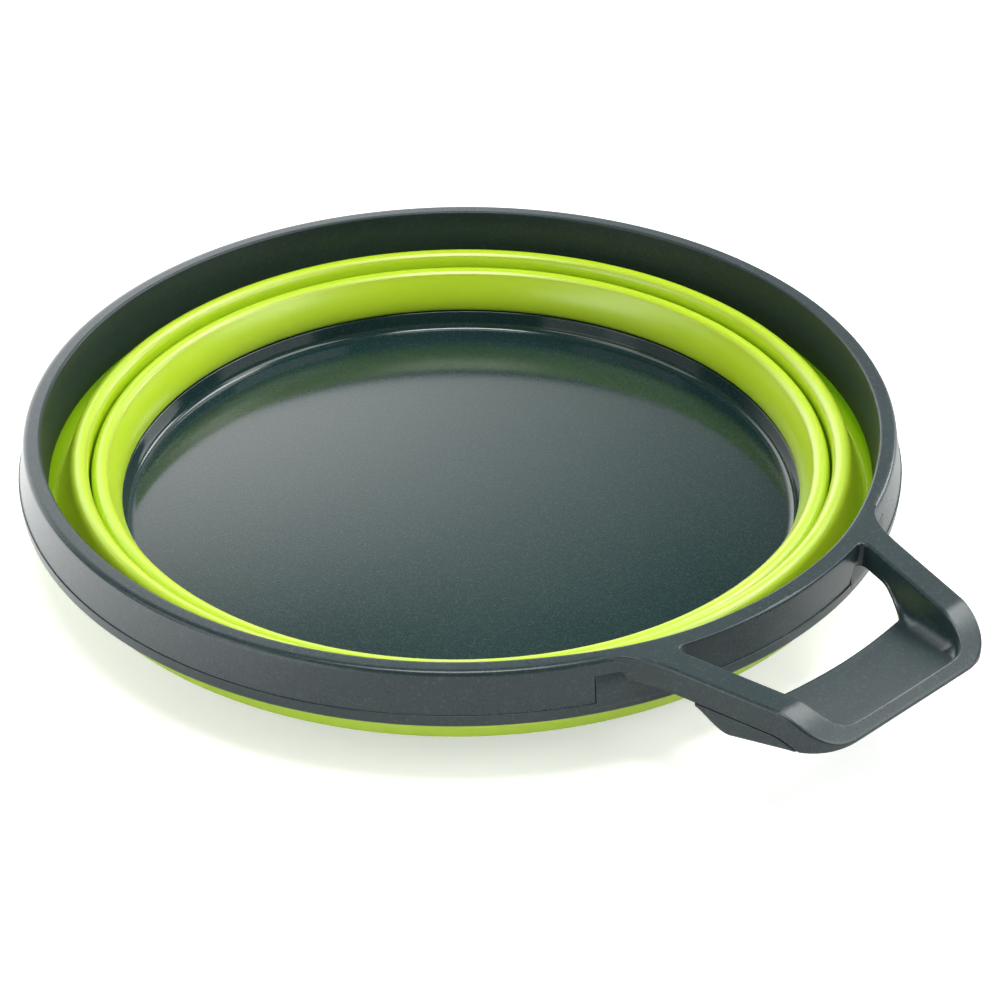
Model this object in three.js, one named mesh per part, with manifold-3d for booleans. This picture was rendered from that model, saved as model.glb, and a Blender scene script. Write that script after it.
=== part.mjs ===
// A collapsible camping bowl, shown folded flat: a two-part nylon rim with a finger-loop handle,
// a silicone wall folded into five rings, and a hard dish-shaped base.
// Millimetres, +Z up. The origin is the centre of the base's underside and +X points along the handle.

import * as THREE from 'three';
import { mergeVertices } from 'three/addons/utils/BufferGeometryUtils.js';
import Module from 'manifold-3d';

const wasm = await Module();
wasm.setup();

// Overall
const FOLDED_HEIGHT = 21.0;
const RING_SEGMENTS = 56;
const ARC_SEGMENTS = 8;

// Rim frame: an inverted channel, wider at its seam than at its top edge
const RIM_TOP_INNER_RADIUS = 70.4;
const RIM_TOP_WIDTH = 2.8;
const RIM_FLARE = 1.3;
const RIM_EDGE_ROUND = 0.8;
const RIM_INNER_EDGE_ROUND = 0.25;
const RIM_SEAM_DROP = 6.95;
const SKIRT_DEPTH = 10.0;
const SKIRT_DRAFT = 0.4;
const SKIRT_WALL = 1.1;
const ROOF_THICKNESS = 3.5;
const OUTER_WALL = 1.55;

// Clamp ring under the rim, with a raised tab below each arm of the handle
const CLAMP_HEIGHT = 2.0;
const CLAMP_PROUD = 0.2;
const CLAMP_EDGE = 0.45;
const TAB_HEIGHT = 4.3;
const TAB_INSIDE_ARM = 1.9;
const TAB_BEYOND_ARM = 7.3;

// Handle: two arms that run together towards a nose, which dips below the rim
const HANDLE_LENGTH = 25.8;
const HANDLE_ROOT_HALF_WIDTH = 24.8;
const HANDLE_NOSE_HALF_WIDTH = 18.6;
const ARM_WIDTH = 4.85;
const ARM_THICKNESS = 4.3;
const NOSE_BAND = 2.0;
const NOSE_LENGTH = 8.6;
const NOSE_DROP = 4.3;
const NOSE_CURVE = 0.3;
const NOSE_EDGE = 0.5;
const NOSE_CORNER = 6.6;
const OPENING_CORNER = 4.0;
const ROOT_FILLET_SPREAD = 3.4;
const ROOT_FILLET_LENGTH = 1.6;
const ROOT_CORNER = 1.7;

// Finger web: the sloping floor under the front half of the handle's opening
const WEB_START_GAP = 2.6;
const WEB_STEP_LENGTH = 7.6;
const WEB_DEPTH = 7.8;
const WEB_EDGE_GAP = 10.8;
const WEB_EDGE_THICKNESS = 1.8;
const WEB_NOSE_THICKNESS = 1.0;

// Silicone wall: hinge centres, from the rim inwards, and how far each lies below the rim's top
const SILICONE_WALL = 1.1;
const HINGE_RADIUS = 1.05;
const HEM_BEAD_HEIGHT = 2.0;
const HEM_BEAD_PROUD = 0.4;
const OUTER_VALLEY_INSET = 2.5;
const OUTER_VALLEY_DROP = 13.1;
const OUTER_PEAK_INSET = 4.6;
const OUTER_PEAK_DROP = 6.9;
const INNER_VALLEY_DROP = 15.4;
const INNER_PEAK_DROP = 8.9;
const CREASE_GAP = 0.3;
const HINGE_STEPS = 2;

// Base: a dish with an upright lip, held by a bead inside the silicone wall's skirt
const BASE_INSET = 3.5;
const BASE_FLOOR_THICKNESS = 2.5;
const BASE_LIP_HEIGHT = 3.5;
const BASE_LIP_DRAFT = 0.4;
const BASE_LIP_WALL = 1.1;
const BASE_FILLET = 0.9;
const BASE_EDGE = 0.5;
const BASE_BEAD_DEPTH = 0.5;
const BASE_BEAD_HEIGHT = 1.0;
const BASE_BEAD_LEVEL = 1.2;
const FOOT_WIDTH = 8.2;
const FOOT_GROOVE_WIDTH = 2.0;
const FOOT_GROOVE_DEPTH = 0.4;
const SKIRT_OVER_LIP = 1.3;
const SKIRT_FLOOR_GAP = 1.2;

// Clearances
const SEAM_GAP = 0.3;
const FIT = 0.15;
const FOLD_GAP = 0.1;

// Levels and radii that follow from the driving sizes
const RIM_TOP_Z = FOLDED_HEIGHT;
const RIM_SEAM_Z = RIM_TOP_Z - RIM_SEAM_DROP;
const RIM_TOP_RADIUS = RIM_TOP_INNER_RADIUS + RIM_TOP_WIDTH;
const RIM_OUTER_RADIUS = RIM_TOP_RADIUS + RIM_FLARE;
const CHANNEL_OUTER_RADIUS = RIM_OUTER_RADIUS - OUTER_WALL;
const SKIRT_INNER_RADIUS = RIM_TOP_INNER_RADIUS - SKIRT_DRAFT;
const CHANNEL_INNER_RADIUS = SKIRT_INNER_RADIUS + SKIRT_WALL;
const ROOF_Z = RIM_TOP_Z - ROOF_THICKNESS;
const SKIRT_BOTTOM_Z = RIM_TOP_Z - SKIRT_DEPTH;
const CLAMP_TOP_Z = RIM_SEAM_Z - SEAM_GAP / 2;
const CLAMP_OUTER_RADIUS = RIM_OUTER_RADIUS + CLAMP_PROUD;
const HEM_RADIUS = CHANNEL_INNER_RADIUS + FIT + SILICONE_WALL / 2;
const CLAMP_INNER_RADIUS = HEM_RADIUS + SILICONE_WALL / 2 + FIT;
const OUTER_VALLEY_RADIUS = HEM_RADIUS - OUTER_VALLEY_INSET;
const OUTER_PEAK_RADIUS = OUTER_VALLEY_RADIUS - OUTER_PEAK_INSET;
const PEAK_SPACING = 2 * HINGE_RADIUS + SILICONE_WALL + CREASE_GAP;
const INNER_VALLEY_RADIUS = OUTER_PEAK_RADIUS - PEAK_SPACING / 2;
const INNER_PEAK_RADIUS = OUTER_PEAK_RADIUS - PEAK_SPACING;
const HANDLE_REACH = RIM_OUTER_RADIUS + HANDLE_LENGTH;
const BASE_FLOOR_RADIUS = INNER_PEAK_RADIUS - BASE_INSET;
const BASE_BEAD_Z = BASE_FLOOR_THICKNESS + BASE_BEAD_LEVEL;
const LIP_TOP_Z = BASE_FLOOR_THICKNESS + BASE_LIP_HEIGHT;
const LIP_TOP_RADIUS = BASE_FLOOR_RADIUS + BASE_LIP_DRAFT;
const LIP_OUTER_RADIUS = LIP_TOP_RADIUS + BASE_LIP_WALL;

const nylon = new THREE.MeshStandardMaterial({ color: 0x475254, roughness: 0.6, metalness: 0.0 });
const clampNylon = new THREE.MeshStandardMaterial({ color: 0x434e50, roughness: 0.6, metalness: 0.0 });
const silicone = new THREE.MeshStandardMaterial({ color: 0xa9d02c, roughness: 0.45, metalness: 0.0 });
const dishPlastic = new THREE.MeshStandardMaterial({ color: 0x333c3e, roughness: 0.3, metalness: 0.0 });

// Joins the shared vertices of a geometry and drops triangles that have no area.
function closeMesh(source) {
  const bare = source.index ? source.toNonIndexed() : source.clone();
  bare.deleteAttribute('normal');
  bare.deleteAttribute('uv');
  const merged = mergeVertices(bare, 1e-4);
  const corners = merged.index.array;
  const kept = [];
  for (let i = 0; i < corners.length; i += 3) {
    const [a, b, c] = [corners[i], corners[i + 1], corners[i + 2]];
    if (a !== b && b !== c && c !== a) {
      kept.push(a, b, c);
    }
  }
  merged.setIndex(kept);
  return merged;
}

function toSolid(geometry) {
  const merged = closeMesh(geometry);
  const vertProperties = new Float32Array(merged.attributes.position.array);
  const triVerts = new Uint32Array(merged.index.array);
  return new wasm.Manifold(new wasm.Mesh({ numProp: 3, vertProperties, triVerts }));
}

function toGeometry(solid) {
  const mesh = solid.getMesh();
  const geometry = new THREE.BufferGeometry();
  geometry.setAttribute('position', new THREE.BufferAttribute(mesh.vertProperties, 3));
  geometry.setIndex(new THREE.BufferAttribute(mesh.triVerts, 1));
  return geometry;
}

// Turns a profile of [radius, height] points about +Z. A ring's profile is closed on itself.
function turned(profile, isRing) {
  const points = profile.map(([radius, height]) => new THREE.Vector2(radius, height));
  const loop = points.concat(isRing ? [points[0].clone()] : []);
  let area = 0;
  for (let i = 0; i < points.length; i += 1) {
    const next = points[(i + 1) % points.length];
    area += points[i].x * next.y - next.x * points[i].y;
  }
  const outward = area > 0 ? loop : loop.reverse();
  return closeMesh(new THREE.LatheGeometry(outward, RING_SEGMENTS).rotateX(Math.PI / 2));
}

// Extrudes a plan outline upwards from one level to another.
function prism(shape, bottomZ, topZ) {
  const settings = { depth: topZ - bottomZ, bevelEnabled: false, curveSegments: ARC_SEGMENTS };
  return toSolid(new THREE.ExtrudeGeometry(shape, settings).translate(0, 0, bottomZ));
}

// Extrudes a side view, drawn as x across and z up, to half a width either side of the XZ plane.
function sidePrism(shape, halfWidth) {
  const settings = { depth: 2 * halfWidth, bevelEnabled: false, curveSegments: ARC_SEGMENTS };
  const geometry = new THREE.ExtrudeGeometry(shape, settings);
  return toSolid(geometry.translate(0, 0, -halfWidth).rotateX(Math.PI / 2));
}

function sectorShape(innerRadius, outerRadius, start, end) {
  const shape = new THREE.Shape();
  shape.absarc(0, 0, outerRadius, start, end, false);
  shape.absarc(0, 0, innerRadius, end, start, true);
  shape.closePath();
  return shape;
}

// Rim frame section, and the pocket that the clamp ring's tabs rise into
const roundMiddle = (1 - Math.SQRT1_2) * RIM_EDGE_ROUND;
const rimProfile = [
  [SKIRT_INNER_RADIUS, SKIRT_BOTTOM_Z],
  [CHANNEL_INNER_RADIUS, SKIRT_BOTTOM_Z],
  [CHANNEL_INNER_RADIUS, ROOF_Z],
  [CHANNEL_OUTER_RADIUS, ROOF_Z],
  [CHANNEL_OUTER_RADIUS, RIM_SEAM_Z],
  [RIM_OUTER_RADIUS, RIM_SEAM_Z],
  [RIM_TOP_RADIUS, RIM_TOP_Z - RIM_EDGE_ROUND],
  [RIM_TOP_RADIUS - roundMiddle, RIM_TOP_Z - roundMiddle],
  [RIM_TOP_RADIUS - RIM_EDGE_ROUND, RIM_TOP_Z],
  [RIM_TOP_INNER_RADIUS + RIM_INNER_EDGE_ROUND, RIM_TOP_Z],
  [RIM_TOP_INNER_RADIUS, RIM_TOP_Z - RIM_INNER_EDGE_ROUND],
];
const tabTopZ = CLAMP_TOP_Z + TAB_HEIGHT;
const tabInnerRadius = CHANNEL_OUTER_RADIUS + FIT;

// A tab starts inside its arm's inner edge and ends beyond the outer edge, each moved out by a margin.
function tabAngles(side, margin) {
  const startY = armInnerY(RIM_OUTER_RADIUS) - TAB_INSIDE_ARM - margin;
  const endY = armOuterY(RIM_OUTER_RADIUS) + TAB_BEYOND_ARM + margin;
  const angles = [startY, endY].map((y) => side * Math.asin(y / RIM_OUTER_RADIUS));
  return angles.sort((a, b) => a - b);
}

// A tab's face slopes with the rim's wall and stands as proud of it as the clamp ring does.
function tabAt(side) {
  const shape = sectorShape(tabInnerRadius, CLAMP_OUTER_RADIUS, ...tabAngles(side, 0));
  const wallShare = (tabTopZ - RIM_SEAM_Z) / (RIM_TOP_Z - RIM_EDGE_ROUND - RIM_SEAM_Z);
  const face = [
    [0, 0],
    [CLAMP_OUTER_RADIUS, 0],
    [CLAMP_OUTER_RADIUS, CLAMP_TOP_Z],
    [CLAMP_OUTER_RADIUS - RIM_FLARE * wallShare, tabTopZ],
    [0, tabTopZ],
  ];
  const block = prism(shape, CLAMP_TOP_Z - CLAMP_HEIGHT / 2, tabTopZ);
  return block.intersect(toSolid(turned(face, false)));
}

function pocketAt(side) {
  const innerRadius = CHANNEL_OUTER_RADIUS - FIT;
  const outerRadius = CLAMP_OUTER_RADIUS + SEAM_GAP;
  const shape = sectorShape(innerRadius, outerRadius, ...tabAngles(side, SEAM_GAP));
  return prism(shape, CLAMP_TOP_Z - CLAMP_HEIGHT / 2, tabTopZ + SEAM_GAP);
}

// Plan of the handle: each arm's outer edge is a straight line from the rim to the nose
const armSlope = (HANDLE_NOSE_HALF_WIDTH - HANDLE_ROOT_HALF_WIDTH) / HANDLE_LENGTH;
const armOuterY = (x) => HANDLE_ROOT_HALF_WIDTH + armSlope * (x - RIM_OUTER_RADIUS);
const armInnerY = (x) => armOuterY(x) - ARM_WIDTH;
const noseInnerX = HANDLE_REACH - NOSE_BAND;

// Where an arm's edge line crosses a circle about the bowl's axis.
function armCircleX(edgeAtZero, radius) {
  const a = 1 + armSlope * armSlope;
  const b = 2 * armSlope * edgeAtZero;
  const c = edgeAtZero * edgeAtZero - radius * radius;
  return (-b + Math.sqrt(b * b - 4 * a * c)) / (2 * a);
}

function handleOutline() {
  const rootX = armCircleX(armOuterY(0), RIM_TOP_RADIUS);
  const onRimY = armOuterY(rootX) + ROOT_FILLET_SPREAD;
  const onRimX = Math.sqrt(RIM_TOP_RADIUS ** 2 - onRimY ** 2);
  const armX = RIM_OUTER_RADIUS + ROOT_FILLET_LENGTH;
  const cornerX = HANDLE_REACH - NOSE_CORNER;
  const noseY = HANDLE_NOSE_HALF_WIDTH;
  const shape = new THREE.Shape();
  shape.moveTo(onRimX, -onRimY);
  shape.quadraticCurveTo(rootX, -armOuterY(rootX), armX, -armOuterY(armX));
  shape.lineTo(cornerX, -armOuterY(cornerX));
  shape.quadraticCurveTo(HANDLE_REACH, -noseY, HANDLE_REACH, NOSE_CORNER - noseY);
  shape.lineTo(HANDLE_REACH, noseY - NOSE_CORNER);
  shape.quadraticCurveTo(HANDLE_REACH, noseY, cornerX, armOuterY(cornerX));
  shape.lineTo(armX, armOuterY(armX));
  shape.quadraticCurveTo(rootX, armOuterY(rootX), onRimX, onRimY);
  shape.closePath();
  return shape;
}

// Plan of the loop's opening, between the rim's wall, the arms and the nose, drawn in by an inset.
function openingOutline(inset) {
  const edgeY = (x) => armInnerY(x) - inset;
  const noseX = noseInnerX - inset;
  const rimX = armCircleX(edgeY(0), RIM_OUTER_RADIUS);
  const rimY = edgeY(rimX);
  const rimAngle = Math.asin((rimY - ROOT_CORNER) / RIM_OUTER_RADIUS);
  const rimStart = new THREE.Vector2(RIM_OUTER_RADIUS, 0).rotateAround(new THREE.Vector2(), rimAngle);
  const cornerX = noseX - OPENING_CORNER;
  const noseY = edgeY(noseX);
  const shape = new THREE.Shape();
  shape.absarc(0, 0, RIM_OUTER_RADIUS, rimAngle, -rimAngle, true);
  shape.quadraticCurveTo(rimX, -rimY, rimX + ROOT_CORNER, -edgeY(rimX + ROOT_CORNER));
  shape.lineTo(cornerX, -edgeY(cornerX));
  shape.quadraticCurveTo(noseX, -noseY, noseX, OPENING_CORNER - noseY);
  shape.lineTo(noseX, noseY - OPENING_CORNER);
  shape.quadraticCurveTo(noseX, noseY, cornerX, edgeY(cornerX));
  shape.lineTo(rimX + ROOT_CORNER, edgeY(rimX + ROOT_CORNER));
  shape.quadraticCurveTo(rimX, rimY, rimStart.x, rimStart.y);
  shape.closePath();
  return shape;
}

// Side view of the handle: the top is level, then dips to the nose, and the web hangs below the arms
const bendX = HANDLE_REACH - NOSE_LENGTH;
const webStartX = RIM_OUTER_RADIUS + WEB_START_GAP;
const webLowX = webStartX + WEB_STEP_LENGTH;
const webLowZ = RIM_TOP_Z - WEB_DEPTH;
const webNoseZ = RIM_TOP_Z - NOSE_DROP - NOSE_EDGE;
const armUnderZ = RIM_TOP_Z - ARM_THICKNESS;
const webEdgeRadius = RIM_OUTER_RADIUS + WEB_EDGE_GAP;
const handleTopZ = RIM_TOP_Z + HANDLE_REACH;

// Follows the handle's top from the bend to the tip, lowered by a given amount.
function traceTop(shape, lowered) {
  const bendZ = RIM_TOP_Z - lowered;
  shape.quadraticCurveTo(bendX + NOSE_CURVE * NOSE_LENGTH, bendZ, HANDLE_REACH, bendZ - NOSE_DROP);
}

// The underside: the arms step down to the web's low edge, which rises to the nose.
function traceUnderside(shape) {
  const middleX = (webStartX + webLowX) / 2;
  shape.lineTo(webLowX, webLowZ);
  shape.bezierCurveTo(middleX, webLowZ, middleX, armUnderZ, webStartX, armUnderZ);
}

function aboveUnderside() {
  const shape = new THREE.Shape();
  shape.moveTo(0, handleTopZ);
  shape.lineTo(HANDLE_REACH, handleTopZ);
  shape.lineTo(HANDLE_REACH, webNoseZ);
  traceUnderside(shape);
  shape.lineTo(0, armUnderZ);
  shape.closePath();
  return sidePrism(shape, HANDLE_REACH);
}

// Everything under the handle's top surface, lowered by a given amount.
function underTop(lowered) {
  const shape = new THREE.Shape();
  shape.moveTo(0, 0);
  shape.lineTo(0, RIM_TOP_Z - lowered);
  shape.lineTo(bendX, RIM_TOP_Z - lowered);
  traceTop(shape, lowered);
  shape.lineTo(HANDLE_REACH, 0);
  shape.closePath();
  return sidePrism(shape, HANDLE_REACH);
}

// The space over the web's floor, which slopes up from the web's edge to the nose.
function aboveFloor() {
  const edgeZ = webLowZ + WEB_EDGE_THICKNESS;
  const noseZ = webNoseZ + WEB_NOSE_THICKNESS;
  const shape = new THREE.Shape();
  shape.moveTo(webStartX, edgeZ);
  shape.lineTo(webLowX, edgeZ);
  shape.quadraticCurveTo(webEdgeRadius, edgeZ, HANDLE_REACH, noseZ);
  shape.lineTo(HANDLE_REACH, handleTopZ);
  shape.lineTo(webStartX, handleTopZ);
  shape.closePath();
  return sidePrism(shape, HANDLE_REACH);
}

const openingPlan = (inset) => prism(openingOutline(inset), 0, handleTopZ);
const loopPlan = (inset) => prism(handleOutline(), 0, handleTopZ).subtract(openingPlan(inset));

// A plain disc about the bowl's axis, standing on the base's level.
const disc = (radius, height) => toSolid(turned([[0, 0], [radius, 0], [radius, height], [0, height]], false));

function rimFrame() {
  const inside = disc(RIM_TOP_INNER_RADIUS + RIM_INNER_EDGE_ROUND, handleTopZ);
  const loop = loopPlan(0).intersect(underTop(0)).intersect(aboveUnderside())
    .subtract(underTop(ARM_THICKNESS)).subtract(inside);
  const ring = toSolid(turned(rimProfile, true));
  return toGeometry(ring.add(loop).subtract(pocketAt(1)).subtract(pocketAt(-1)));
}

function clampRing() {
  const bottomZ = CLAMP_TOP_Z - CLAMP_HEIGHT;
  const profile = [
    [CLAMP_INNER_RADIUS, bottomZ],
    [CLAMP_OUTER_RADIUS - CLAMP_EDGE, bottomZ],
    [CLAMP_OUTER_RADIUS, bottomZ + CLAMP_EDGE],
    [CLAMP_OUTER_RADIUS, CLAMP_TOP_Z],
    [CLAMP_INNER_RADIUS, CLAMP_TOP_Z],
  ];
  return toGeometry(toSolid(turned(profile, true)).add(tabAt(1)).add(tabAt(-1)));
}

// The web is two walls that hang from the arms and a floor between them.
function fingerWeb() {
  const behindStart = disc(webStartX, handleTopZ);
  const behindEdge = disc(webEdgeRadius, handleTopZ);
  const walls = loopPlan(2 * SEAM_GAP).intersect(aboveUnderside())
    .intersect(underTop(ARM_THICKNESS + SEAM_GAP)).subtract(behindStart);
  const floor = openingPlan(SEAM_GAP).intersect(aboveUnderside())
    .subtract(aboveFloor()).subtract(behindEdge);
  return toGeometry(walls.add(floor));
}

// Silicone wall: a belt that runs down from the hem, under the valleys and over the peaks.
// A valley's centre lies to the right of the belt's travel and a peak's to the left.
const hinge = (x, drop, r) => ({ x, z: RIM_TOP_Z - drop, r });
const outerValley = hinge(OUTER_VALLEY_RADIUS, OUTER_VALLEY_DROP, -HINGE_RADIUS);
const outerPeak = hinge(OUTER_PEAK_RADIUS, OUTER_PEAK_DROP, HINGE_RADIUS);
const innerValley = hinge(INNER_VALLEY_RADIUS, INNER_VALLEY_DROP, -HINGE_RADIUS);
const innerPeak = hinge(INNER_PEAK_RADIUS, INNER_PEAK_DROP, HINGE_RADIUS);

// Heading of the straight run between two hinges, or between a plain point and a hinge.
function runHeading(from, to) {
  const [dx, dz] = [to.x - from.x, to.z - from.z];
  const heading = Math.atan2(dz, dx) - Math.asin((to.r - from.r) / Math.hypot(dx, dz));
  return heading < 0 ? heading + 2 * Math.PI : heading;
}

const stationAt = (h, heading) => ({
  x: h.x + h.r * Math.sin(heading),
  z: h.z - h.r * Math.cos(heading),
  heading,
});

// Stations round a hinge, from one heading to another.
function roundHinge(h, fromHeading, toHeading) {
  const stations = [];
  for (let i = 0; i <= HINGE_STEPS; i += 1) {
    stations.push(stationAt(h, fromHeading + ((toHeading - fromHeading) * i) / HINGE_STEPS));
  }
  return stations;
}

// Both faces of the wall along a run of stations.
function wallFaces(stations) {
  const half = SILICONE_WALL / 2;
  const left = stations.map((s) => [s.x - half * Math.sin(s.heading), s.z + half * Math.cos(s.heading)]);
  const right = stations.map((s) => [s.x + half * Math.sin(s.heading), s.z - half * Math.cos(s.heading)]);
  return { left, right };
}

const acrossHeading = Math.PI;
const downHeading = 1.5 * Math.PI;

// One ring of the wall, from the middle of one hinge to the middle of the next.
function foldRing(from, to) {
  const heading = runHeading(from, to);
  const stations = roundHinge(from, acrossHeading, heading).concat(roundHinge(to, heading, acrossHeading));
  const inset = (s) => ({ ...s, x: s.x - FOLD_GAP });
  const first = inset(stations[0]);
  const { left, right } = wallFaces([first, ...stations.slice(1)]);
  return turned(left.concat(right.reverse()), true);
}

// The hem: a bead over the clamp ring, and the run out of the rim to the outer valley.
function rimBand() {
  const beadTopZ = ROOF_Z - FIT;
  const beadBottomZ = CLAMP_TOP_Z + SEAM_GAP / 2 + FIT;
  const bendZ = SKIRT_BOTTOM_Z - FIT;
  const leave = { x: HEM_RADIUS, z: bendZ - SILICONE_WALL / 2, r: 0 };
  const heading = runHeading(leave, outerValley);
  const stations = [
    { x: HEM_RADIUS, z: Math.min(beadTopZ, beadBottomZ + HEM_BEAD_HEIGHT), heading: downHeading },
    { x: HEM_RADIUS, z: beadBottomZ, heading: downHeading },
    { x: HEM_RADIUS, z: bendZ, heading: downHeading },
    ...roundHinge(outerValley, heading, acrossHeading),
  ];
  const { left, right } = wallFaces(stations);
  const beadRadius = left[0][0] + HEM_BEAD_PROUD;
  const bead = [[beadRadius, left[0][1]], [beadRadius, beadBottomZ]];
  return turned(bead.concat(left.slice(1), right.reverse()), true);
}

// The wall's inner ring and the skirt that wraps the base's lip.
function baseBand() {
  const landZ = LIP_TOP_Z + FIT;
  const land = { x: LIP_TOP_RADIUS + SILICONE_WALL / 2, z: landZ, r: 0 };
  const heading = runHeading(innerPeak, land);
  const { left, right } = wallFaces(roundHinge(innerPeak, acrossHeading, heading)
    .map((s, i) => (i === 0 ? { ...s, x: s.x - FOLD_GAP } : s)));
  const skirtInner = LIP_OUTER_RADIUS + FIT;
  const skirtOuter = skirtInner + SKIRT_OVER_LIP;
  const beadHalf = BASE_BEAD_HEIGHT / 2 - FIT;
  const skirt = [
    [LIP_TOP_RADIUS, landZ],
    [skirtInner, landZ],
    [skirtInner, BASE_BEAD_Z + beadHalf],
    [skirtInner - BASE_BEAD_DEPTH, BASE_BEAD_Z + beadHalf],
    [skirtInner - BASE_BEAD_DEPTH, BASE_BEAD_Z - beadHalf],
    [skirtInner, BASE_BEAD_Z - beadHalf],
    [skirtInner, SKIRT_FLOOR_GAP],
    [skirtOuter, SKIRT_FLOOR_GAP],
    [skirtOuter, landZ],
  ];
  return turned(right.concat(skirt, left.reverse()), true);
}

function basePlate() {
  const grooveOuter = LIP_OUTER_RADIUS - FOOT_WIDTH;
  const grooveInner = grooveOuter - FOOT_GROOVE_WIDTH;
  return turned([
    [0, 0],
    [grooveInner, 0],
    [grooveInner, FOOT_GROOVE_DEPTH],
    [grooveOuter, FOOT_GROOVE_DEPTH],
    [grooveOuter, 0],
    [LIP_OUTER_RADIUS - BASE_EDGE, 0],
    [LIP_OUTER_RADIUS, BASE_EDGE],
    [LIP_OUTER_RADIUS, BASE_BEAD_Z - BASE_BEAD_HEIGHT / 2],
    [LIP_OUTER_RADIUS - BASE_BEAD_DEPTH, BASE_BEAD_Z - BASE_BEAD_HEIGHT / 2],
    [LIP_OUTER_RADIUS - BASE_BEAD_DEPTH, BASE_BEAD_Z + BASE_BEAD_HEIGHT / 2],
    [LIP_OUTER_RADIUS, BASE_BEAD_Z + BASE_BEAD_HEIGHT / 2],
    [LIP_OUTER_RADIUS, LIP_TOP_Z],
    [LIP_TOP_RADIUS, LIP_TOP_Z],
    [BASE_FLOOR_RADIUS, BASE_FLOOR_THICKNESS + BASE_FILLET],
    [BASE_FLOOR_RADIUS - BASE_FILLET, BASE_FLOOR_THICKNESS],
    [0, BASE_FLOOR_THICKNESS],
  ], false);
}

const bowl = new THREE.Group();

function addPiece(name, geometry, material) {
  geometry.computeVertexNormals();
  const mesh = new THREE.Mesh(geometry, material);
  mesh.name = name;
  bowl.add(mesh);
}

addPiece('rim_frame', rimFrame(), nylon);
addPiece('clamp_ring', clampRing(), clampNylon);
addPiece('finger_web', fingerWeb(), nylon);
addPiece('rim_band', rimBand(), silicone);
addPiece('upper_fold', foldRing(outerValley, outerPeak), silicone);
addPiece('middle_band', foldRing(outerPeak, innerValley), silicone);
addPiece('lower_fold', foldRing(innerValley, innerPeak), silicone);
addPiece('base_band', baseBand(), silicone);
addPiece('base_plate', basePlate(), dishPlastic);

export default bowl;
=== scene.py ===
from math import asin, atan2, cos, hypot, pi, radians, sin, sqrt, tau

import bmesh
import bpy
from mathutils import Euler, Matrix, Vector


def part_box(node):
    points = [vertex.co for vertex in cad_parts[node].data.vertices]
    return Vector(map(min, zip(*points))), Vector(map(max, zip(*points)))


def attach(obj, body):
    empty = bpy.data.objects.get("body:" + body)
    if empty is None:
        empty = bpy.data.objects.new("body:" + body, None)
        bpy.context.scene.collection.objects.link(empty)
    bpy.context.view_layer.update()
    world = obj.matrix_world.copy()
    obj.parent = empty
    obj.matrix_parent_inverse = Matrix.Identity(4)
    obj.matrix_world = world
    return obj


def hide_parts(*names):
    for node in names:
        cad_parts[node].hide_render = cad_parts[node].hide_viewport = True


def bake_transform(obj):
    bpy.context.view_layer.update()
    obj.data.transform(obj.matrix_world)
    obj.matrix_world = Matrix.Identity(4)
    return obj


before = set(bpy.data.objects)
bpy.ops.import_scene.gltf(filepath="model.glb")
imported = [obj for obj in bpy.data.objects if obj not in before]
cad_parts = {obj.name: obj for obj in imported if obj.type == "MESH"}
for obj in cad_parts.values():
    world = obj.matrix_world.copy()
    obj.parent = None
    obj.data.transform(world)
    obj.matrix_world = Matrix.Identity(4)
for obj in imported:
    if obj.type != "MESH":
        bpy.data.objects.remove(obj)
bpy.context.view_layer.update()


# Base dish: the hard floor of the bowl, moulded in a dark slate plastic with a fine glossy grain.
# It has a low upright lip, and is pushed up into the silicone wall's skirt, where a bead holds it.
MM = 0.001
TURN_STEPS = 256
SHARP_ANGLE = radians(40)


class Signal:
    """A socket of a material's node tree. Arithmetic on it adds Math nodes."""

    def __init__(self, tree, socket=None):
        self.tree = tree
        self.socket = socket

    def node(self, kind, settings, sockets, output=0):
        """Adds any other node, with its settings and with numbers or signals in its sockets."""
        made = self.tree.nodes.new("ShaderNode" + kind)
        for name, value in settings.items():
            setattr(made, name, value)
        for name, value in sockets.items():
            if isinstance(value, Signal):
                self.tree.links.new(value.socket, made.inputs[name])
            else:
                made.inputs[name].default_value = value
        return Signal(self.tree, made.outputs[output] if made.outputs else None)

    def maths(self, operation, first, second=0.0):
        return self.node("Math", {"operation": operation}, {0: first, 1: second})

    def __add__(self, other):
        return self.maths("ADD", self, other)

    def __radd__(self, other):
        return self.maths("ADD", other, self)

    def __sub__(self, other):
        return self.maths("SUBTRACT", self, other)

    def __rsub__(self, other):
        return self.maths("SUBTRACT", other, self)

    def __mul__(self, other):
        return self.maths("MULTIPLY", self, other)

    def __rmul__(self, other):
        return self.maths("MULTIPLY", other, self)

    def __pow__(self, other):
        return self.maths("POWER", self, other)

    def step(self, low, high):
        """Rises smoothly from 0 at low to 1 at high."""
        span = {"From Min": low, "From Max": high}
        return self.node("MapRange", {"interpolation_type": "SMOOTHSTEP"}, {"Value": self, **span})

    def mix(self, first, second):
        """A colour that goes from the first to the second as this value goes from 0 to 1."""
        return self.node("Mix", {"data_type": "RGBA"}, {0: self, 6: first, 7: second}, 2)


def start_finish(name):
    """A new empty material, and a signal that stands for its node tree."""
    finish = bpy.data.materials.new(name)
    finish.use_nodes = True
    finish.node_tree.nodes.clear()
    return finish, Signal(finish.node_tree)


def place_on(tree):
    """Where a point lies on the piece, in metres."""
    return tree.node("TexCoord", {}, {}, "Object")


def noise(tree, scale, detail=2.0, roughness=0.5):
    """Soft spots, so many to the metre, fixed to the piece."""
    spots = {"Vector": place_on(tree), "Scale": scale, "Detail": detail, "Roughness": roughness}
    return tree.node("TexNoise", {}, spots)


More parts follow.
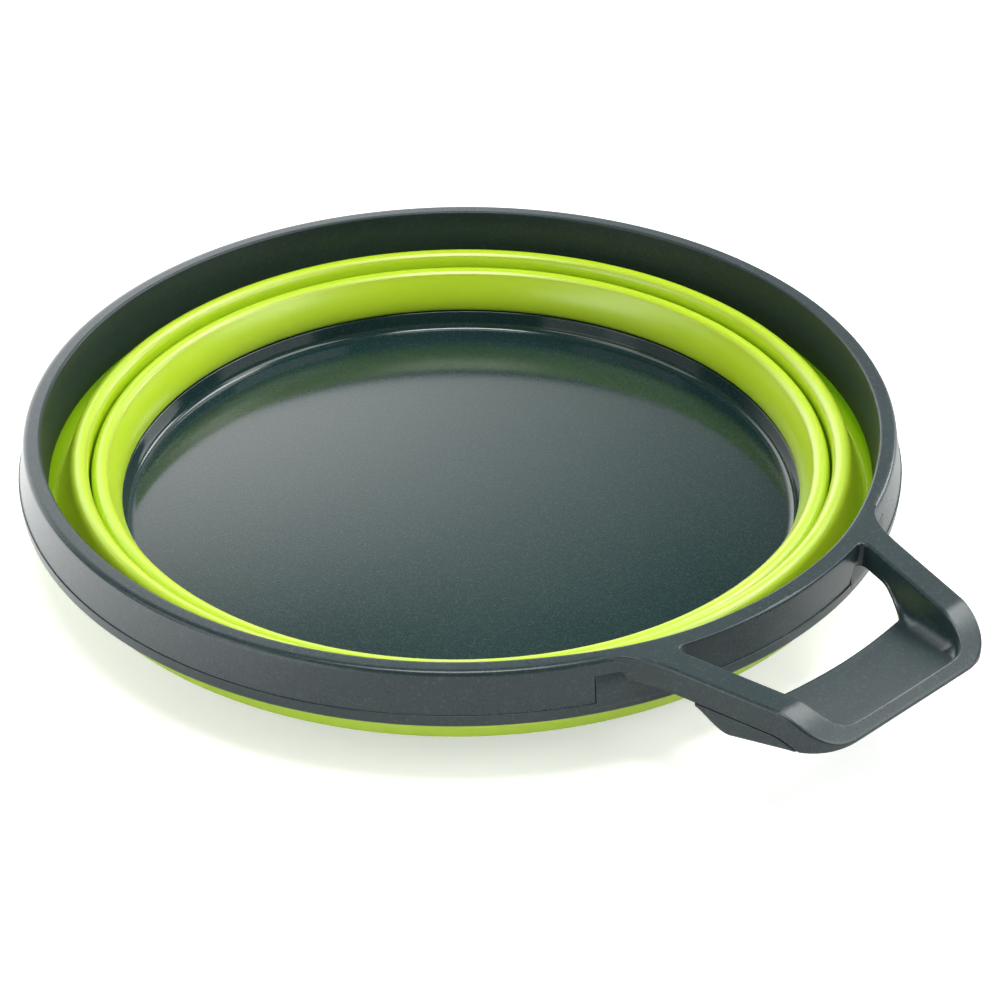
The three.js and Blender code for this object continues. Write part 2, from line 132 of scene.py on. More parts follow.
def flecks(tree, scale):
    """Small cells, so many to the metre, each with its own value."""
    cells = tree.node("TexVoronoi", {"feature": "F1"}, {"Vector": place_on(tree), "Scale": scale}, "Color")
    return tree.node("SeparateColor", {}, {0: cells}, 0)


def dish_plastic():
    """Dark glossy plastic with a fine grain, and pale flecks painted in as glints."""
    finish, tree = start_finish("dish_plastic")
    grain = noise(tree, 4200, 3.0, 0.7)
    patches = noise(tree, 45)
    # Pale flecks painted into the colour as glints of the grain; they also raise small bumps.
    glint_fleck = flecks(tree, 4600) ** 6
    shade = grain * 0.5 + patches * 0.15 + glint_fleck * 0.5
    tone = shade.mix((0.003, 0.014, 0.014, 1), (0.026, 0.058, 0.058, 1))
    height = tree.node("Bump", {}, {"Strength": 0.05, "Distance": 0.05 * MM, "Height": grain + glint_fleck * 0.6})
    surface = tree.node("BsdfPrincipled", {}, {
        "Base Color": tone,
        "Roughness": 0.075 + patches * 0.03 + grain * 0.02,
        "IOR": 1.52,
        "Normal": height,
    })
    tree.node("OutputMaterial", {}, {"Surface": surface})
    return finish


ROUND_STEPS = 5
HOLD = 1.3
WELD = 0.0005 * MM


def rounded(corners):
    """An outline through corners of (radius, height, rounding), with a point held close to each rounding."""
    points = []
    for index, (x, z, cut) in enumerate(corners):
        corner = Vector((x, z))
        before = (Vector(corners[index - 1][:2]) - corner).normalized()
        after = (Vector(corners[(index + 1) % len(corners)][:2]) - corner).normalized()
        if cut == 0:
            points.append(corner)
            continue
        points.append(corner + before * cut * HOLD)
        for step in range(ROUND_STEPS + 1):
            t = step / ROUND_STEPS
            points.append(corner + before * cut * (1 - t) ** 2 + after * cut * t ** 2)
        points.append(corner + after * cut * HOLD)
    return points


def turn(outline, closed=True):
    """Turns an outline of (radius, height) points about the bowl's axis."""
    shape = bmesh.new()
    corners = [shape.verts.new((x, 0, z)) for x, z in outline]
    ends = corners[1:] + (corners[:1] if closed else [])
    edges = [shape.edges.new(pair) for pair in zip(corners, ends)]
    bmesh.ops.spin(
        shape, geom=corners + edges, cent=(0, 0, 0), axis=(0, 0, 1), dvec=(0, 0, 0),
        angle=tau, steps=TURN_STEPS, use_merge=True, use_duplicate=False,
    )
    bmesh.ops.remove_doubles(shape, verts=shape.verts, dist=WELD)
    bmesh.ops.recalc_face_normals(shape, faces=shape.faces)
    return shape


def make_piece(name, shape, finish):
    """Makes an object from a finished shape, smooth but for its sharp edges."""
    mesh = bpy.data.meshes.new(name)
    shape.to_mesh(mesh)
    shape.free()
    mesh.materials.append(finish)
    mesh.shade_smooth()
    mesh.set_sharp_from_angle(angle=SHARP_ANGLE)
    piece = bpy.data.objects.new(name, mesh)
    bpy.context.scene.collection.objects.link(piece)
    return piece


def stand_for(node):
    """Hides a CAD node, whose place a new piece takes."""
    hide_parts(node)


dish_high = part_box("base_plate")[1]
lip_outer = dish_high.x
lip_top = dish_high.z
lip_inner = lip_outer - 1.1 * MM
floor_radius = lip_inner - 0.4 * MM
floor_top = lip_top - 3.5 * MM
groove_outer = lip_outer - 8.2 * MM
groove_inner = groove_outer - 2.0 * MM
groove_top = 0.4 * MM
bead_top = floor_top + 1.7 * MM
bead_low = floor_top + 0.7 * MM
bead_radius = lip_outer - 0.5 * MM

dish_outline = rounded([
    (0, 0, 0),
    (groove_inner, 0, 0.15 * MM),
    (groove_inner, groove_top, 0.1 * MM),
    (groove_outer, groove_top, 0.1 * MM),
    (groove_outer, 0, 0.15 * MM),
    (lip_outer, 0, 0.5 * MM),
    (lip_outer, bead_low, 0),
    (bead_radius, bead_low, 0),
    (bead_radius, bead_top, 0),
    (lip_outer, bead_top, 0),
    (lip_outer, lip_top, 0.25 * MM),
    (lip_inner, lip_top, 0.25 * MM),
    (floor_radius, floor_top, 1.2 * MM),
    (0, floor_top, 0),
])
dish = make_piece("dish", turn(dish_outline, closed=False), dish_plastic())
stand_for("base_plate")
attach(dish, "base")


# Base ring: the innermost ring of the wall, which is one soft lime-green silicone moulding on the real bowl.
# It comes down from the inner hinge to the dish, and its skirt is stretched over the dish's lip and bead.
WALL = 1.1 * MM
HINGE = 1.05 * MM
FOLD_GAP = 0.1 * MM
HINGE_STEPS = 9
RUN_STEPS = 14
SEAM_TURN = radians(50)


def silicone():
    """Satin lime-green rubber that lets some light through."""
    finish, tree = start_finish("silicone")
    mottle = noise(tree, 60, 3.0)
    grain = noise(tree, 2800, 2.0, 0.6)
    tone = (mottle * 0.7 + grain * 0.3).mix((0.400, 0.590, 0.010, 1), (0.470, 0.650, 0.022, 1))
    height = tree.node("Bump", {}, {"Strength": 0.06, "Distance": 0.04 * MM, "Height": grain})
    surface = tree.node("BsdfPrincipled", {}, {
        "Base Color": tone,
        "Roughness": 0.25 + mottle * 0.08 + grain * 0.05,
        "IOR": 1.66,
        "Subsurface Weight": 0.5,
        "Subsurface Radius": (1.0, 1.3, 0.12),
        "Subsurface Scale": 2.2 * MM,
        "Normal": height,
    })
    tree.node("OutputMaterial", {}, {"Surface": surface})
    return finish


def hinge_at(node, is_peak):
    """Centre and turning radius of the hinge that a ring of the wall starts from, from the ring's box."""
    low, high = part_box(node)
    reach = HINGE + WALL / 2
    if is_peak:
        return high.x + FOLD_GAP, high.z - reach, HINGE
    return high.x + FOLD_GAP, low.z + reach, -HINGE


def heading_between(start, end):
    """Direction of the straight run of wall from one hinge to the next, as seen in the section."""
    dx = end[0] - start[0]
    dz = end[1] - start[1]
    heading = atan2(dz, dx) - asin((end[2] - start[2]) / hypot(dx, dz))
    return heading % tau


def around(hinge, start, end):
    """Points of the wall's middle line round a hinge, each with the wall's direction there."""
    x, z, radius = hinge
    turns = [start + (end - start) * step / HINGE_STEPS for step in range(HINGE_STEPS + 1)]
    return [(x + radius * sin(turned), z - radius * cos(turned), turned) for turned in turns]


def along(start, end):
    """Points on the straight run between two points of the middle line."""
    start_x, start_z, heading = start
    end_x, end_z = end[:2]
    shares = [step / RUN_STEPS for step in range(1, RUN_STEPS)]
    return [(start_x + (end_x - start_x) * t, start_z + (end_z - start_z) * t, heading) for t in shares]


def wall_sides(middle):
    """Both faces of a stretch of the wall, half its thickness to either side of the middle line."""
    half = WALL / 2
    left = [(x - half * sin(turned), z + half * cos(turned)) for x, z, turned in middle]
    right = [(x + half * sin(turned), z - half * cos(turned)) for x, z, turned in middle]
    return left, right


inner_peak = hinge_at("base_band", True)
lime = silicone()

SKIRT_GAP = 0.15 * MM
landing_z = lip_top + SKIRT_GAP
shoulder_z = lip_top + 3.0 * MM
into_base = heading_between(inner_peak, (lip_inner + WALL / 2, shoulder_z, 0))
outer_side, inner_side = wall_sides(around(inner_peak, pi + SEAM_TURN, into_base))
face_start = Vector(inner_side[-1])
face_bend = Vector((lip_inner - 0.5 * MM, shoulder_z))
face_end = Vector((lip_inner, landing_z + 0.4 * MM))
for step in range(1, RUN_STEPS + 1):
    t = step / RUN_STEPS
    inner_side.append(face_start.lerp(face_bend, t).lerp(face_bend.lerp(face_end, t), t))
base_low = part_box("base_band")[0]
skirt_inner = lip_outer + SKIRT_GAP
skirt_outer = skirt_inner + 1.3 * MM
skirt_bead = skirt_inner - 0.5 * MM
landing_cut = 0.39 * MM
skirt = rounded([
    (lip_inner + landing_cut, landing_z, 0),
    (skirt_inner, landing_z, 0),
    (skirt_inner, bead_top - SKIRT_GAP, 0),
    (skirt_bead, bead_top - SKIRT_GAP, 0.1 * MM),
    (skirt_bead, bead_low + SKIRT_GAP, 0.1 * MM),
    (skirt_inner, bead_low + SKIRT_GAP, 0),
    (skirt_inner, base_low.z, 0.2 * MM),
    (skirt_outer, base_low.z, 0.4 * MM),
    (skirt_outer, landing_z, 0.4 * MM),
])
base_ring = make_piece("base_ring", turn(inner_side + skirt + outer_side[::-1]), lime)
stand_for("base_band")
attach(base_ring, "base")


# Inner fold: the ring of the silicone wall that is hidden in the inner crease, but for its top.
# It is moulded on to the rings beside it; on the real bowl it turns inside out as the middle ring lifts.
def wall_ring(middle):
    """Turns a stretch of the wall's middle line into a closed ring of the wall's thickness."""
    left, right = wall_sides(middle)
    return turn(left + right[::-1])


def fold_between(start, end):
    """Middle line from hinge to hinge. A ring's seam lies just past a peak's top, inside the crease."""
    heading = heading_between(start, end)
    first = around(start, pi + (SEAM_TURN if start[2] > 0 else 0), heading)
    last = around(end, heading, pi + (SEAM_TURN if end[2] > 0 else 0))
    return first + along(first[-1], last[0]) + last


inner_valley = hinge_at("lower_fold", False)
inner_fold = make_piece("inner_fold", wall_ring(fold_between(inner_valley, inner_peak)), lime)
stand_for("lower_fold")
inner_valley[1] - HINGE + WALL / 2
inner_peak[1] + HINGE - WALL / 2
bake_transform(inner_fold)


# Middle ring: the ring of the silicone wall between the two folds, from the outer ridge to a hidden valley.
# It is part of the same moulding and keeps its shape as the bowl opens.
outer_peak = hinge_at("middle_band", True)
middle_ring = make_piece("middle_ring", wall_ring(fold_between(outer_peak, inner_valley)), lime)
stand_for("middle_band")
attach(middle_ring, "mid_ring")


# Outer fold: the ring of the silicone wall between the groove at the rim and the outer ridge.
# It is moulded on to the rings beside it; on the real bowl it turns inside out as the rim lifts.
outer_valley = hinge_at("upper_fold", False)
outer_fold = make_piece("outer_fold", wall_ring(fold_between(outer_valley, outer_peak)), lime)
stand_for("upper_fold")
outer_valley[1] - HINGE + WALL / 2
outer_peak[1] + HINGE - WALL / 2
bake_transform(outer_fold)


# Rim ring: the top of the silicone wall, a hem that stands in the rim's channel and is trapped by the clamp.
# It comes out under the rim's inner wall and runs to the groove where the outer fold starts.
rim_low, rim_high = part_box("rim_frame")
hem_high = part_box("rim_band")[1]
hem_radius = hem_high.x - 0.4 * MM - WALL / 2
leave = (hem_radius, rim_low.z - 0.15 * MM - WALL / 2, 0)
down = 1.5 * pi
under_rim = heading_between(leave, outer_valley)
valley_turn = around(outer_valley, under_rim, pi)
hem_middle = [
    (hem_radius, hem_high.z, down),
    (hem_radius, rim_low.z, down),
    (leave[0], leave[1], (down + under_rim) / 2),
    *along((leave[0], leave[1], under_rim), valley_turn[0]),
    *valley_turn,
]
rim_ring = make_piece("rim_ring", wall_ring(hem_middle), lime)
stand_for("rim_band")
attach(rim_ring, "rim")


# Clamp ring: the lower half of the rim, a nylon band welded on from below to trap the wall's hem.
# A raised tab under each arm of the handle fills the pocket there, and its seam shows on the rim's wall.
INNER_WALL_RADIUS = 70.5 * MM
INNER_WALL_FADE = 0.5 * MM


def rim_nylon(name, shine):
    """Slate-grey nylon with a sandblasted grain and painted glints; smoother on the rim's inner wall, painted
    darker there as shade.
    """
    finish, tree = start_finish(name)
    grain = noise(tree, 3000, 2.0, 0.55)
    patches = noise(tree, 90)
    # Pale flecks painted into the colour as glints of the grain.
    glint_fleck = flecks(tree, 2400) ** 8
    place = place_on(tree)
    x = tree.node("SeparateXYZ", {}, {0: place}, 0)
    y = tree.node("SeparateXYZ", {}, {0: place}, 1)
    # Mask of the rim's inner wall, which is smoother, and whose colour is painted darker as shade.
    polish_and_shade = 1.0 - ((x * x + y * y) ** 0.5).step(INNER_WALL_RADIUS, INNER_WALL_RADIUS + INNER_WALL_FADE)
    shade = (grain * 0.55 + patches * 0.25 + glint_fleck * 0.6) * (1.0 - polish_and_shade * 0.4)
    tone = shade.mix((0.006, 0.014, 0.016, 1), (0.029, 0.052, 0.055, 1))
    bumps = grain * (1.0 - polish_and_shade * 0.85)
    height = tree.node("Bump", {}, {"Strength": 0.2, "Distance": 0.05 * MM, "Height": bumps})
    surface = tree.node("BsdfPrincipled", {}, {
        "Base Color": tone,
        "Roughness": 0.27 - shine + polish_and_shade * 0.12 + patches * 0.05 + grain * 0.06,
        "IOR": 1.48,
        "Normal": height,
    })
    tree.node("OutputMaterial", {}, {"Surface": surface})
    return finish


rim_radius = -rim_low.x
rim_top = rim_high.z
rim_seam = rim_top - 6.95 * MM
clamp_low, clamp_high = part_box("clamp_ring")
clamp_radius = clamp_high.x
clamp_inner = clamp_radius - 2.2 * MM
clamp_outline = rounded([
    (clamp_inner, clamp_low.z, 0.2 * MM),
    (clamp_radius - 0.1 * MM, clamp_low.z, 0.5 * MM),
    (clamp_radius, rim_seam, 0.12 * MM),
    (clamp_inner, rim_seam, 0.1 * MM),
])
TAB_STEPS = 24


def sector(outline, start, end):
    """A solid turned through part of a circle, from one angle to another."""
    shape = bmesh.new()
    corners = [shape.verts.new((x * cos(start), x * sin(start), z)) for x, z in outline]
    face = shape.faces.new(corners)
    bmesh.ops.spin(
        shape, geom=[face], cent=(0, 0, 0), axis=(0, 0, 1), dvec=(0, 0, 0),
        angle=end - start, steps=TAB_STEPS, use_merge=False, use_duplicate=False,
    )
    bmesh.ops.holes_fill(shape, edges=shape.edges, sides=0)
    bmesh.ops.recalc_face_normals(shape, faces=shape.faces)
    return shape


tab_start = asin(18.05 * MM / rim_radius)
tab_end = asin(32.1 * MM / rim_radius)
tab_foot = rim_seam - 1.0 * MM
tab_back = rim_radius - 1.4 * MM
tab_outline = [
    (tab_back, tab_foot),
    (clamp_radius, tab_foot),
    (clamp_radius, rim_seam),
    (clamp_radius - 0.95 * MM, clamp_high.z),
    (tab_back, clamp_high.z),
]
clamp_nylon = rim_nylon("clamp_nylon", 0.02)
clamp = make_piece("clamp", turn(clamp_outline), clamp_nylon)
stand_for("clamp_ring")
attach(clamp, "rim")
for side, name in ((1, "left_tab"), (-1, "right_tab")):
    tab_shape = sector(tab_outline, side * tab_start, side * tab_end)
    long_edges = [edge for edge in tab_shape.edges if edge.calc_face_angle(0) > SHARP_ANGLE]
    bmesh.ops.bevel(
        tab_shape, geom=long_edges, affect="EDGES", offset=0.15 * MM, segments=2, profile=0.5, material=-1,
    )
    tab = make_piece(name, tab_shape, clamp_nylon)
    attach(tab, "rim")


# Rim frame: the upper rim and the handle's loop, one moulding in slate-grey nylon.
# The rim is an inverted channel, and the loop's arms run out flush with its top and dip to a thin nose.
frame_nylon = rim_nylon("frame_nylon", 0.04)
rim_flat_top = rim_top - 0.02 * MM
rim_top_radius = rim_radius - 1.3 * MM
rim_inner = rim_top_radius - 2.8 * MM
channel_outer = rim_radius - 1.55 * MM
channel_inner = rim_inner + 0.7 * MM
channel_roof = rim_top - 3.5 * MM
rim_outline = rounded([
    (rim_inner - 0.4 * MM, rim_low.z, 0.3 * MM),
    (channel_inner, rim_low.z, 0.2 * MM),
    (channel_inner, channel_roof, 0),
    (channel_outer, channel_roof, 0),
    (channel_outer, rim_seam, 0),
    (rim_radius, rim_seam, 0.06 * MM),
    (rim_top_radius, rim_flat_top, 0.8 * MM),
    (rim_inner, rim_flat_top, 0.45 * MM),
])
rim_shape = turn(rim_outline)
HANDLE_BULGE = 1.2 * MM
BULGE_ANGLE = radians(36)
BULGE_FADE = radians(28)

# The rim's inner top edge swings out a little by the handle
for vert in rim_shape.verts:
    radius = hypot(vert.co.x, vert.co.y)
    if radius < channel_inner and vert.co.z > channel_roof:
        t = min(1.0, max(0.0, (BULGE_ANGLE - abs(atan2(vert.co.y, vert.co.x))) / BULGE_FADE))
        moved = 1 + HANDLE_BULGE * t * t * (3 - 2 * t) / radius
        vert.co = (vert.co.x * moved, vert.co.y * moved, vert.co.z)
rim = make_piece("rim_channel", rim_shape, frame_nylon)
pocket_gap = 0.12 * MM
pocket_back = tab_back - 0.3 * MM
pocket_front = rim_radius + 0.6 * MM
pocket_outline = [
    (pocket_back, tab_foot),
    (pocket_front, tab_foot),
    (pocket_front, clamp_high.z + pocket_gap),
    (pocket_back, clamp_high.z + pocket_gap),
]
pocket_turn = pocket_gap / rim_radius
for side in (1, -1):
    pocket_shape = sector(pocket_outline, side * (tab_start - pocket_turn), side * (tab_end + pocket_turn))
    pocket = make_piece("pocket", pocket_shape, frame_nylon)
    cut = rim.modifiers.new("pocket", "BOOLEAN")
    cut.object = pocket
    cut.solver = "EXACT"
    carved = rim.evaluated_get(bpy.context.evaluated_depsgraph_get())
    rim.data = bpy.data.meshes.new_from_object(carved)
    rim.modifiers.clear()
    bpy.data.objects.remove(pocket)
rim.data.set_sharp_from_angle(angle=SHARP_ANGLE)
stand_for("rim_frame")
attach(rim, "rim")


# Handle loop: the two arms and the nose that joins them, moulded in one with the rim's nylon.
# Its section is followed by stations from the nose to the rim, where it runs down the wall to the seam.
nose_x = rim_high.x
nose_half = 18.6 * MM
root_half = 24.8 * MM
arm_width = 4.85 * MM
arm_depth = 4.3 * MM
nose_length = 8.6 * MM
nose_drop = 4.3 * MM
nose_edge = 0.5 * MM
nose_inner = nose_x - 2.0 * MM
nose_corner = 6.6 * MM
opening_corner = 4.0 * MM
root_corner = 2.3 * MM
bend_x = nose_x - nose_length
web_start = rim_radius + 2.6 * MM
web_low_x = web_start + 7.6 * MM
web_low_z = rim_top - 7.8 * MM
web_nose_z = rim_top - nose_drop - nose_edge
arm_slope = (nose_half - root_half) / (nose_x - rim_radius)


def arm_outer(x):
    """Plan of an arm's outer edge, a straight line that leans in towards the nose."""
    return Vector((x, root_half + arm_slope * (x - rim_radius)))


def arm_inner(x):
    """Plan of an arm's inner edge."""
    return arm_outer(x) - Vector((0, arm_width))


NOSE_CURVE = 0.3


def top_at(x):
    """Height of the handle's top: level with the rim, then falling in a curve to the nose."""
    share = max(0.0, (x - bend_x) / nose_length)
    linear = 2 * NOSE_CURVE
    square = 1 - linear
    t = (sqrt(linear ** 2 + 4 * square * share) - linear) / (2 * square)
    return rim_top - nose_drop * t * t


def underside_at(x):
    """Height of the handle's underside: the arms step down to the web's low edge, which rises to the nose."""
    if x >= web_low_x:
        return web_low_z + (web_nose_z - web_low_z) * (x - web_low_x) / (nose_x - web_low_x)
    t = min(1.0, (web_low_x - x) / (web_low_x - web_start))
    return web_low_z + (rim_top - arm_depth - web_low_z) * t * t * (3 - 2 * t)


def line(start, end, t):
    """A point on a straight line, at a share of the way."""
    return Vector(start).lerp(Vector(end), t)


def bend(start, corner, end, t):
    """A point on a curve that rounds a corner, at a share of the way."""
    return line(line(start, corner, t), line(corner, end, t), t)


def on_circle(radius, angle):
    """A point on a circle about the bowl's axis."""
    return Vector((radius * cos(angle), radius * sin(angle)))


def circle_meets(edge, radius):
    """The point where an arm's edge crosses a circle about the bowl's axis."""
    a = 1 + arm_slope ** 2
    b = 2 * arm_slope * edge(0).y
    c = edge(0).y ** 2 - radius ** 2
    return edge((sqrt(b * b - 4 * a * c) - b) / (2 * a))


outer_root = circle_meets(arm_outer, rim_top_radius)
fillet_y = outer_root.y + 3.4 * MM
fillet_end = Vector((sqrt(rim_top_radius ** 2 - fillet_y ** 2), fillet_y))
inner_root = circle_meets(arm_inner, rim_radius)
corner_angle = asin((inner_root.y - root_corner) / rim_radius)
tuck_radius = rim_top_radius - 1.4 * MM
tuck_angle = atan2(fillet_end.y, fillet_end.x) + radians(1.5)
inner_nose = arm_inner(nose_inner)
outer_turn = ((nose_x, nose_half - nose_corner), (nose_x, nose_half), arm_outer(nose_x - nose_corner))
inner_turn = (inner_nose - Vector((0, opening_corner)), inner_nose, arm_inner(nose_inner - opening_corner))
outer_fillet = (arm_outer(rim_radius + 1.6 * MM), outer_root, fillet_end)
inner_fillet = (arm_inner(inner_root.x + root_corner), inner_root, on_circle(rim_radius, corner_angle))

NOSE_STATIONS = 10
BEND_STATIONS = 24
ARM_STATIONS = 24
TUCK_STATIONS = 4
RIM_STATIONS = 32
TUCK_TURN = 0.04
RIM_SKEW = 0.55

# Each stretch of half the loop, from the nose to the rim: its stations, its outer edge and its inner edge
nose_stretches = [
    (NOSE_STATIONS, lambda t: line((nose_x, 0), outer_turn[0], t),
     lambda t: line((nose_inner, 0), inner_turn[0], t)),
    (BEND_STATIONS, lambda t: bend(*outer_turn, t), lambda t: bend(*inner_turn, t)),
]
loop_stretches = nose_stretches + [
    (ARM_STATIONS, lambda t: line(outer_turn[2], outer_fillet[0], t),
     lambda t: line(inner_turn[2], inner_fillet[0], t)),
    (BEND_STATIONS, lambda t: bend(*outer_fillet, t), lambda t: bend(*inner_fillet, t)),
    (TUCK_STATIONS, lambda t: line(fillet_end, on_circle(tuck_radius, tuck_angle), t),
     lambda t: on_circle(rim_radius, corner_angle * (1 - TUCK_TURN * t))),
    (RIM_STATIONS, lambda t: on_circle(tuck_radius, tuck_angle * (1 - t)),
     lambda t: on_circle(rim_radius, corner_angle * (1 - TUCK_TURN) * (1 - t))),
]


def edges_at(stretches, station):
    """Plan of the outer and inner edge at a station, counted from the nose's middle to either side."""
    left = abs(station)
    for count, outer, inner in stretches[:-1]:
        if left <= count:
            break
        left -= count
    else:
        count, outer, inner = stretches[-1]
    side = Vector((1, -1 if station < 0 else 1))
    return outer(left / count) * side, inner(left / count) * side


def station_count(stretches):
    """Stations in all of the stretches, from the nose's middle to the last stretch's end."""
    return sum(count for count, outer, inner in stretches)


def loop_section(width, depth, skew):
    """Section of the loop as (distance from the outer edge, depth below the top), with its edges rounded."""
    top_round = min(0.55 * MM, depth * 0.35, width * 0.3)
    low_round = min(0.15 * MM, depth * 0.2, width * 0.2)
    return rounded([
        (0, 0, top_round * (1 - skew)),
        (width, 0, top_round),
        (width, depth, low_round),
        (width * skew, depth, low_round),
    ])


def loop_ring(station):
    """The loop's section at a station, in space. Along the rim it runs down the wall to the seam."""
    outer, inner = edges_at(loop_stretches, station)
    on_rim = min(1.0, max(0.0, (abs(station) - fillet_station) / TUCK_STATIONS))
    rim_depth = rim_top - rim_seam - 0.05 * MM
    outer_depth = min(arm_depth, top_at(outer.x) - underside_at(outer.x))
    inner_depth = min(arm_depth, top_at(inner.x) - underside_at(inner.x))
    outer_depth += (rim_depth - outer_depth) * on_rim
    inner_depth += (rim_depth - inner_depth) * on_rim
    middle_depth = (outer_depth + inner_depth) / 2
    width = (inner - outer).length
    ring = []
    for across, down_by in loop_section(width, middle_depth, RIM_SKEW * on_rim):
        share = across / width
        spot = outer.lerp(inner, share)
        depth = outer_depth + (inner_depth - outer_depth) * share
        ring.append((spot.x, spot.y, top_at(spot.x) - down_by * depth / middle_depth))
    return ring


def drape(rings):
    """A tube whose grid of points is given ring by ring, closed at its ends unless they meet."""
    shape = bmesh.new()
    rows = len(rings) - 1
    columns = len(rings[0])
    bmesh.ops.create_grid(shape, x_segments=rows, y_segments=columns, size=0.5)
    for vert in shape.verts:
        row = round((vert.co.x + 0.5) * rows)
        vert.co = rings[row][round((vert.co.y + 0.5) * columns) % columns]
    bmesh.ops.remove_doubles(shape, verts=shape.verts, dist=WELD)
    bmesh.ops.holes_fill(shape, edges=shape.edges, sides=0)
    bmesh.ops.recalc_face_normals(shape, faces=shape.faces)
    return shape


loop_half = station_count(loop_stretches)
fillet_station = station_count(loop_stretches[:-2])
loop_shape = drape([loop_ring(station) for station in range(-loop_half, loop_half + 1)])
loop = make_piece("handle_loop", loop_shape, frame_nylon)
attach(loop, "rim")


# Finger web: a satin nylon tray under the front half of the loop, where the fingers bear.
# Its walls hang below the arms and line their inner sides, and its floor runs up to the nose with a hollow
# fillet along the walls.
WEB_FILLET = 2.4 * MM
WEB_SKIN = 0.03 * MM
WEB_PROUD = 0.08 * MM
WEB_SEAM = 0.1 * MM
WEB_EDGE_CUT = 0.06 * MM
WEB_THICKNESS = 1.8 * MM
WEB_THINNING = 0.7 * MM
THINNING_LENGTH = 3.3 * MM
web_edge_radius = rim_radius + 10.8 * MM
web_stretches = nose_stretches + [
    (ARM_STATIONS, lambda t: line(outer_turn[2], arm_outer(web_start), t),
     lambda t: line(inner_turn[2], arm_inner(web_start), t)),
]
web_half = station_count(web_stretches)
arc_half = 15.0 * MM
arc_end = Vector((sqrt(web_edge_radius ** 2 - arc_half ** 2), arc_half))
swing_corner = arm_inner(rim_radius + 9.8 * MM)
ARC_SHARE = 0.62


def web_floor(x):
    """Height of the web's floor: level at its edge, then rising to the nose. It thins towards the arms."""
    edge_z = web_low_z + WEB_THICKNESS
    nose_z = web_nose_z + 1.0 * MM
    if x >= web_low_x:
        share = (x - web_low_x) / (nose_x - web_low_x)
        return edge_z + (nose_z - edge_z) * share ** 1.15
    thin = min(1.0, (web_low_x - x) / THINNING_LENGTH)
    return underside_at(x) + WEB_THICKNESS - WEB_THINNING * thin


def web_front(station):
    """Plan of the web's front edge: an arc about the bowl's axis that swings back to each arm."""
    share = abs(station) / web_half
    if share <= ARC_SHARE:
        y = arc_end.y * share / ARC_SHARE
        spot = Vector((sqrt(web_edge_radius ** 2 - y ** 2), y))
    else:
        swing = (share - ARC_SHARE) / (1 - ARC_SHARE)
        spot = bend(arc_end, swing_corner, arm_inner(web_start), swing)
    return spot * Vector((1, -1 if station < 0 else 1))


def web_ring(station):
    """The web's section at a station: underside, outer wall, arm's lining, fillet, floor and front edge."""
    outer, inner = edges_at(web_stretches, station)
    before = edges_at(web_stretches, station - 0.01)[1]
    run = (inner - before).normalized()
    inward = Vector((-run.y, run.x))
    outward = (outer - inner).normalized()
    front = web_front(station)
    length = (front - inner).length
    wall_top = top_at(outer.x) - arm_depth - WEB_SEAM
    wall_height = max(0.0, wall_top - underside_at(outer.x))
    wall_share = min(1.0, wall_height / (0.25 * MM))
    wall = inner.lerp(outer, 0.15 + 0.85 * wall_share) + outward * WEB_PROUD * wall_share
    hidden_lift = (1 - wall_share) * 0.12 * MM
    low_round = min(0.5 * MM, wall_height / 2)
    lining_top = top_at(inner.x) - 0.75 * MM
    floor_z = web_floor(inner.x)
    fillet = min(WEB_FILLET, max(0.15 * MM, lining_top - floor_z), length * 0.6)
    rounding = min(0.3, 0.6 * MM / max(length, MM))
    front_round = rounding * length
    beneath = inner.lerp(outer, 0.1)
    beneath_z = max(top_at(inner.x) - arm_depth - WEB_SEAM, floor_z - 0.3 * MM)

    ring = []
    for share in (0.02, 0.1, 0.3, 0.5, 0.7, 0.85):
        spot = front.lerp(wall, share)
        ring.append((spot.x, spot.y, underside_at(spot.x) + hidden_lift))
    for turned in (0, 30, 60, 90):
        spot = wall - outward * low_round * (1 - sin(radians(turned)))
        lift = low_round * (1 - cos(radians(turned)))
        ring.append((spot.x, spot.y, underside_at(spot.x) + hidden_lift + lift))
    wall_edge = max(wall_top, underside_at(wall.x) + hidden_lift + low_round)
    tucked = wall - outward * WEB_EDGE_CUT
    ring.append((wall.x, wall.y, wall_edge - WEB_EDGE_CUT * wall_share))
    ring.append((tucked.x, tucked.y, wall_edge))
    ring.append((beneath.x, beneath.y, beneath_z))
    ring.append((inner.x, inner.y, lining_top))
    for turned in range(0, 91, 10):
        spot = inner + inward * (WEB_SKIN + fillet * (1 - cos(radians(turned))))
        ring.append((spot.x, spot.y, web_floor(spot.x) + fillet * (1 - sin(radians(turned)))))
    floor_start = inner + inward * (WEB_SKIN + fillet)
    for share in (0.15, 0.3, 0.45, 0.6, 0.75, 0.9):
        spot = floor_start.lerp(front, share * (1 - rounding))
        ring.append((spot.x, spot.y, web_floor(spot.x)))
    for turned in (0, 22, 45, 68, 90):
        spot = front.lerp(floor_start, rounding * (1 - sin(radians(turned))))
        ring.append((spot.x, spot.y, web_floor(spot.x) - front_round * (1 - cos(radians(turned)))))
    return ring


web_shape = drape([web_ring(station) for station in range(-web_half, web_half + 1)])
web = make_piece("web_tray", web_shape, rim_nylon("web_nylon", 0.03))
stand_for("finger_web")
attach(web, "rim")


# Stage: a white floor that keeps the bowl's shadow and fades to plain white farther out, with soft lamps.
# The room is dim but for a bright window behind the bowl, which the dish reflects. The camera is the photo's.
BRIGHTEST = 4.0


def given_light(tree, level):
    """Light that a surface gives off, at a level from 0 to the brightest."""
    colour = (level * (1 / BRIGHTEST)).mix((0, 0, 0, 1), (BRIGHTEST, BRIGHTEST, BRIGHTEST, 1))
    return tree.node("Emission", {}, {"Color": colour})


